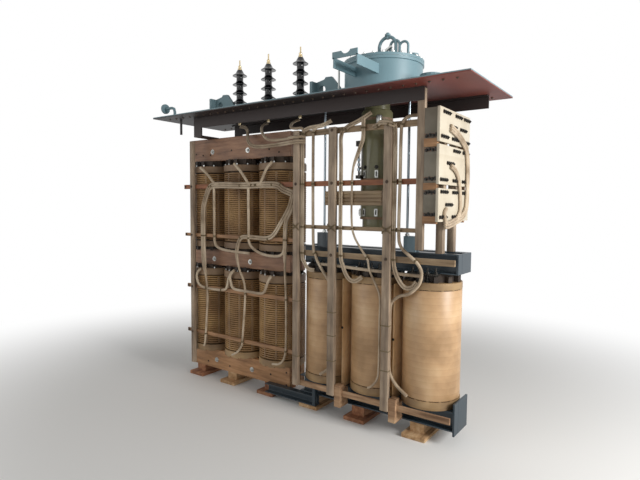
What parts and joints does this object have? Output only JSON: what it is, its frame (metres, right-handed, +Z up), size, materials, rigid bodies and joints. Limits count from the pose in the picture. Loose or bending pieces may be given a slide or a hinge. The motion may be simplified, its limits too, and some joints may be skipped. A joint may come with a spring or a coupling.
{
  "type": "power transformer active part",
  "caption": "Core and coil assembly of a power transformer hung from its tank cover, with bushings, tap changer, terminal board and lead rack.",
  "frame": {"origin": "on the floor, under the middle of the cover", "axes": "+X along the cover towards the terminal board, +Y towards the back, +Z up"},
  "size_m": [2.98, 0.898, 2.975],
  "materials": {
    "cover_paint": "matt red oxide primer with a grey-green top coat",
    "turret_paint": "satin grey-green paint",
    "barrel_laminate": "olive wound laminate",
    "bushing_glaze": "dark brown glaze",
    "core_sheet": "varnished laminated sheet",
    "coil_paper": "oil-stained paper covering",
    "wrap_paper": "kraft paper wrap",
    "clamp_wood": "laminated reddish wood",
    "channel_paint": "dark blue-grey paint",
    "barrier_board": "pressboard",
    "terminal_pressboard": "white pressboard",
    "rod_steel": "bright steel",
    "post_wood": "pale dressed beech",
    "rail_wood": "pale to orange dressed wood",
    "lead_paper": "pale crepe paper covering",
    "packing_wood": "raw sawn wood"
  },
  "bodies": {
    "root": {"cover_plate": "cover_paint", "front_beam": "cover_paint", "rear_beam": "cover_paint", "changer_turret": "turret_paint", "turret_lid": "turret_paint", "changer_barrel": "barrel_laminate", "bushing_1": "bushing_glaze", "bushing_2": "bushing_glaze", "bushing_3": "bushing_glaze", "left_core": "core_sheet", "right_core": "core_sheet", "lower_coil_1": "coil_paper", "lower_coil_2": "coil_paper", "lower_coil_3": "coil_paper", "upper_coil_1": "coil_paper", "upper_coil_2": "coil_paper", "upper_coil_3": "coil_paper", "wrapped_winding_1": "wrap_paper", "wrapped_winding_2": "wrap_paper", "wrapped_winding_3": "wrap_paper", "lower_front_clamp": "clamp_wood", "lower_rear_clamp": "clamp_wood", "middle_front_clamp": "clamp_wood", "middle_rear_clamp": "clamp_wood", "upper_front_clamp": "clamp_wood", "upper_rear_clamp": "clamp_wood", "lower_front_channel": "channel_paint", "lower_rear_channel": "channel_paint", "upper_front_channel": "channel_paint", "upper_rear_channel": "channel_paint", "base_skid": "channel_paint", "phase_barrier_1": "barrier_board", "phase_barrier_2": "barrier_board", "terminal_board": "terminal_pressboard", "suspension_rod_1": "rod_steel", "suspension_rod_2": "rod_steel", "left_post": "post_wood", "middle_post": "post_wood", "inner_post": "post_wood", "outer_post": "post_wood", "board_post": "post_wood", "lower_left_rail": "rail_wood", "coil_rail": "rail_wood", "clamp_rail": "rail_wood", "long_rail": "rail_wood", "top_rail": "rail_wood", "barrel_rail": "rail_wood", "channel_rail": "rail_wood", "bottom_rail": "rail_wood", "strip_pack": "rail_wood", "left_leads": "lead_paper", "right_leads": "lead_paper", "board_leads": "lead_paper", "packing_block_1": "packing_wood", "packing_block_2": "packing_wood", "packing_block_3": "packing_wood", "packing_block_4": "packing_wood", "packing_block_5": "packing_wood", "packing_block_6": "packing_wood"}
  },
  "joints": []
}
